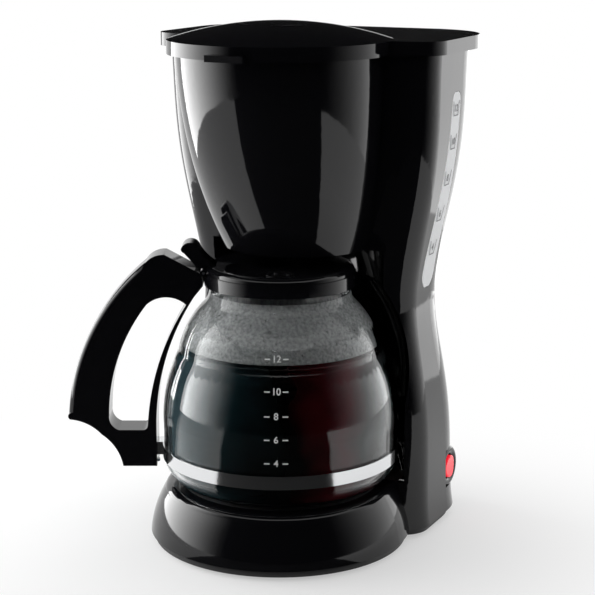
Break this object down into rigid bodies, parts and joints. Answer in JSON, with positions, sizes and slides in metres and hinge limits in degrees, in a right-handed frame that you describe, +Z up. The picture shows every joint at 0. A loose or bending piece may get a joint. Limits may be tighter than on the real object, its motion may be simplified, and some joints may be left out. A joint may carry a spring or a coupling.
{
  "type": "drip coffee maker",
  "caption": "Black drip coffee maker with a domed lid, water tower with gauge window, lift-out filter basket, warming plate and a glass carafe with a steel band and black handle.",
  "frame": {"origin": "on the carafe axis at the table plane, under the rubber feet", "axes": "+Z up, -Y to the front of the machine, +X to its right"},
  "size_m": [0.2246, 0.213, 0.331],
  "materials": {
    "black_shell": "high-gloss black moulded plastic",
    "matte_black": "satin black moulded plastic",
    "rubber": "soft black rubber",
    "steel": "plain steel",
    "coated_plate": "black non-stick coated steel",
    "aluminium": "extruded aluminium",
    "hose": "milky silicone",
    "window": "translucent grey gauge window",
    "red_lens": "lit translucent red plastic",
    "glass": "clear heat-proof glass",
    "band_steel": "polished steel band"
  },
  "bodies": {
    "machine": {"base_housing": "black_shell", "rear_cover": "black_shell", "upper_housing": "black_shell", "gauge_window": "window", "bottom_cover": "matte_black", "rubber_feet": "rubber", "bottom_screws": "steel", "plate_seal": "rubber", "warming_plate": "coated_plate", "heating_element": "aluminium", "thermostat": "steel", "inlet_hose": "hose", "riser_tube": "hose", "riser_pipe": "matte_black", "reservoir_tank": "matte_black", "check_valve": "matte_black", "hinge_pins": "steel", "switch_bezel": "matte_black", "switch_body": "matte_black", "cord_gland": "matte_black", "brew_drum": "black_shell", "drum_floor": "black_shell", "thermal_fuse": "steel", "heater_clamp": "steel", "hose_clamps": "steel"},
    "lid": {"brew_lid": "black_shell", "shower_head": "matte_black"},
    "basket": {"brew_basket": "matte_black"},
    "valve": {"drip_valve": "matte_black", "valve_seal": "rubber", "valve_spring": "steel"},
    "carafe": {"carafe_glass": "glass", "carafe_band": "band_steel", "carafe_handle": "black_shell", "carafe_collar": "black_shell", "handle_screw": "steel", "pour_pin": "steel"},
    "pour_lid": {"carafe_lid": "black_shell"},
    "rocker": {"switch_rocker": "red_lens"}
  },
  "joints": [
    {"name": "lid_hinge", "type": "hinge", "parent": "machine", "child": "lid", "pos_m": [0, 0.1255, 0.3065], "axis": [-1, 0, 0], "range_deg": [0, 95]},
    {"name": "basket_lift", "type": "slide", "parent": "machine", "child": "basket", "axis": [0, 0, 1], "range_m": [0, 0.011]},
    {"name": "drip_stop", "type": "slide", "parent": "basket", "child": "valve", "axis": [0, 0, 1], "range_m": [0, 0.003], "stiffness_N_per_m": 200, "deforming": ["valve_spring"]},
    {"name": "carafe_out", "type": "slide", "parent": "machine", "child": "carafe", "axis": [0, -1, 0], "range_m": [0, 0.2]},
    {"name": "pour_lid_hinge", "type": "hinge", "parent": "carafe", "child": "pour_lid", "pos_m": [-0.0431, -0.021, 0.1752], "axis": [0.438, -0.899, 0], "range_deg": [0, 4.5]},
    {"name": "switch_rock", "type": "hinge", "parent": "machine", "child": "rocker", "pos_m": [0.0835, 0.08, 0.034], "axis": [0, 1, 0], "range_deg": [0, 6]}
  ]
}
